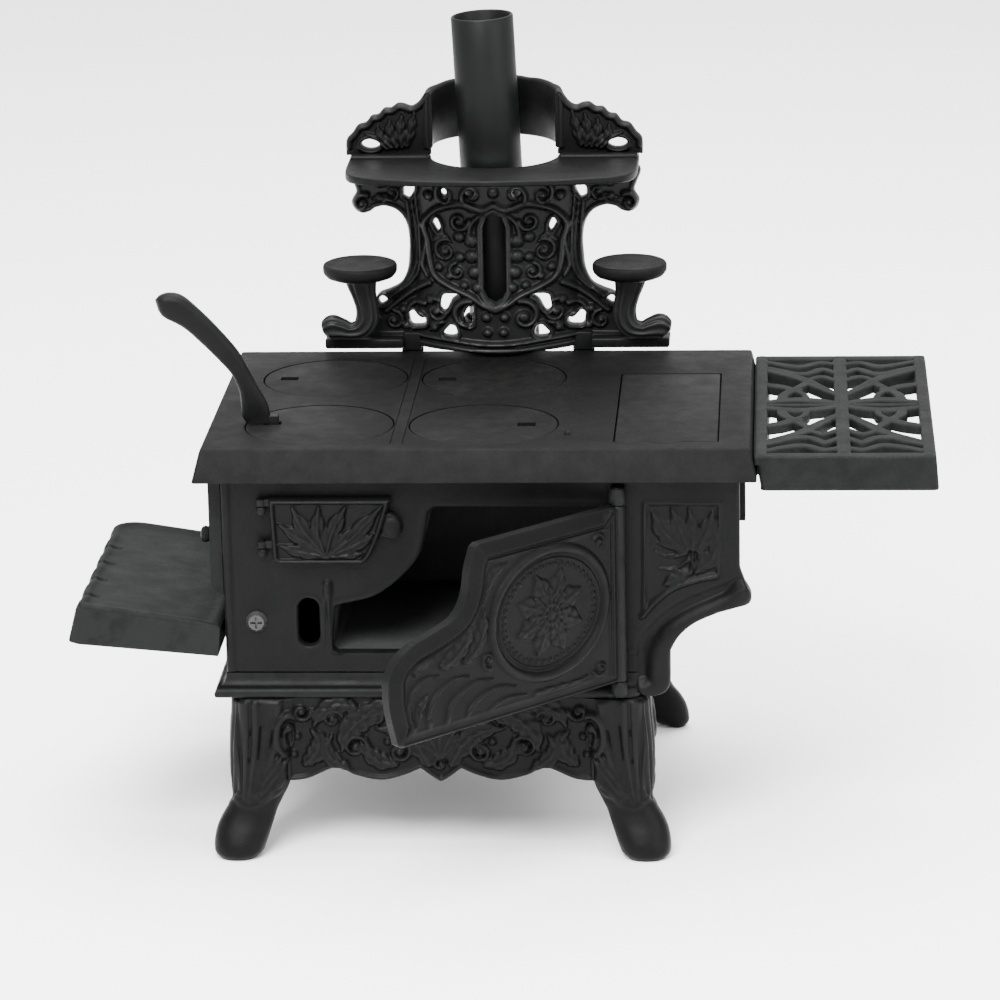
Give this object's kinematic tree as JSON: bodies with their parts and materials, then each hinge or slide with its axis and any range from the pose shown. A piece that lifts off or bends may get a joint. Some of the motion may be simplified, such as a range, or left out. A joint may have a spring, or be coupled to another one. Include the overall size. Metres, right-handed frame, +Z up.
{
  "type": "miniature cast iron cook stove",
  "caption": "Miniature black cast-iron cook stove: hob with lift-out lids, hinged oven and firebox doors, side shelves, tall pierced back with a warming shelf, and a leaning stovepipe.",
  "frame": {"origin": "on the floor, under the centre of the whole stove's bounding box", "axes": "+X to the viewer's right along the stove's front, +Y to the back, +Z up; the front faces -Y"},
  "size_m": [0.305, 0.2386, 0.2749],
  "materials": {
    "black_cast_iron": "matte black, sand-cast",
    "hob_iron": "satin black, ground flat",
    "pipe_black": "satin black",
    "blackened_steel": "blackened"
  },
  "bodies": {
    "stove": {"top_plate": "hob_iron", "oven_door_pin_top": "blackened_steel", "oven_door_pin_bottom": "blackened_steel", "feed_door_pin": "blackened_steel", "front_screw": "blackened_steel", "front_screw_nut": "blackened_steel", "splash_screw_left": "blackened_steel", "splash_screw_right": "blackened_steel", "shelf_bolt_left": "blackened_steel", "shelf_bolt_right": "blackened_steel", "leg_screw_front_left": "blackened_steel", "leg_screw_front_right": "blackened_steel", "leg_screw_back_left": "blackened_steel", "leg_screw_back_right": "blackened_steel", "front_panel": "black_cast_iron", "left_wall": "black_cast_iron", "right_wall": "black_cast_iron", "back_wall": "black_cast_iron", "oven_liner": "black_cast_iron", "oven_back": "black_cast_iron", "reservoir_tank": "black_cast_iron", "base_frame": "black_cast_iron", "leg_front_left": "black_cast_iron", "leg_front_right": "black_cast_iron", "leg_back_left": "black_cast_iron", "leg_back_right": "black_cast_iron", "splash_back": "black_cast_iron", "warming_shelf": "black_cast_iron", "crest": "black_cast_iron", "trivet_left": "black_cast_iron", "trivet_right": "black_cast_iron", "flue_collar": "black_cast_iron"},
    "lid_front_left": {"lid_front_left": "hob_iron"},
    "lid_front_right": {"lid_front_right": "hob_iron"},
    "lid_back_left": {"lid_back_left": "hob_iron"},
    "lid_back_right": {"lid_back_right": "hob_iron"},
    "reservoir_lid": {"reservoir_lid": "hob_iron"},
    "lid_lifter": {"lid_lifter": "black_cast_iron"},
    "oven_door": {"oven_door": "black_cast_iron"},
    "firebox_door": {"firebox_door": "black_cast_iron"},
    "feed_door": {"feed_door": "black_cast_iron", "feed_door_knob": "black_cast_iron"},
    "ash_shelf": {"ash_shelf": "black_cast_iron"},
    "grille_shelf": {"grille_shelf": "black_cast_iron"},
    "stovepipe": {"stovepipe": "pipe_black"}
  },
  "joints": [
    {"name": "oven_door_hinge", "type": "hinge", "parent": "stove", "child": "oven_door", "pos_m": [0.0417, -0.04495, 0.097], "axis": [0, 0, 1], "range_deg": [-44.5, 75]},
    {"name": "firebox_door_hinge", "type": "hinge", "parent": "stove", "child": "firebox_door", "pos_m": [-0.0823, -0.0423, 0.12], "axis": [0, 0, -1], "range_deg": [0, 100]},
    {"name": "feed_door_hinge", "type": "hinge", "parent": "stove", "child": "feed_door", "pos_m": [-0.0998, 0.0504, 0.119], "axis": [0, 0, -1], "range_deg": [0, 90]},
    {"name": "lid_front_left_lift", "type": "slide", "parent": "stove", "child": "lid_front_left", "axis": [0, 0, 1], "range_m": [0, 0.02]},
    {"name": "lid_front_right_lift", "type": "slide", "parent": "stove", "child": "lid_front_right", "axis": [0, 0, 1], "range_m": [0, 0.02]},
    {"name": "lid_back_left_lift", "type": "slide", "parent": "stove", "child": "lid_back_left", "axis": [0, 0, 1], "range_m": [0, 0.02]},
    {"name": "lid_back_right_lift", "type": "slide", "parent": "stove", "child": "lid_back_right", "axis": [0, 0, 1], "range_m": [0, 0.02]},
    {"name": "reservoir_lid_lift", "type": "slide", "parent": "stove", "child": "reservoir_lid", "axis": [0, 0, 1], "range_m": [0, 0.02]},
    {"name": "lid_lifter_lift", "type": "slide", "parent": "lid_front_left", "child": "lid_lifter", "axis": [0, 0, 1], "range_m": [0, 0.02]},
    {"name": "stovepipe_lift", "type": "slide", "parent": "stove", "child": "stovepipe", "axis": [-0.0419, 0, 0.9991], "range_m": [0, 0.03]},
    {"name": "ash_shelf_unhook", "type": "slide", "parent": "stove", "child": "ash_shelf", "axis": [-1, 0, 0], "range_m": [0, 0.015]},
    {"name": "grille_shelf_unhook", "type": "slide", "parent": "stove", "child": "grille_shelf", "axis": [1, 0, 0], "range_m": [0, 0.015]}
  ]
}
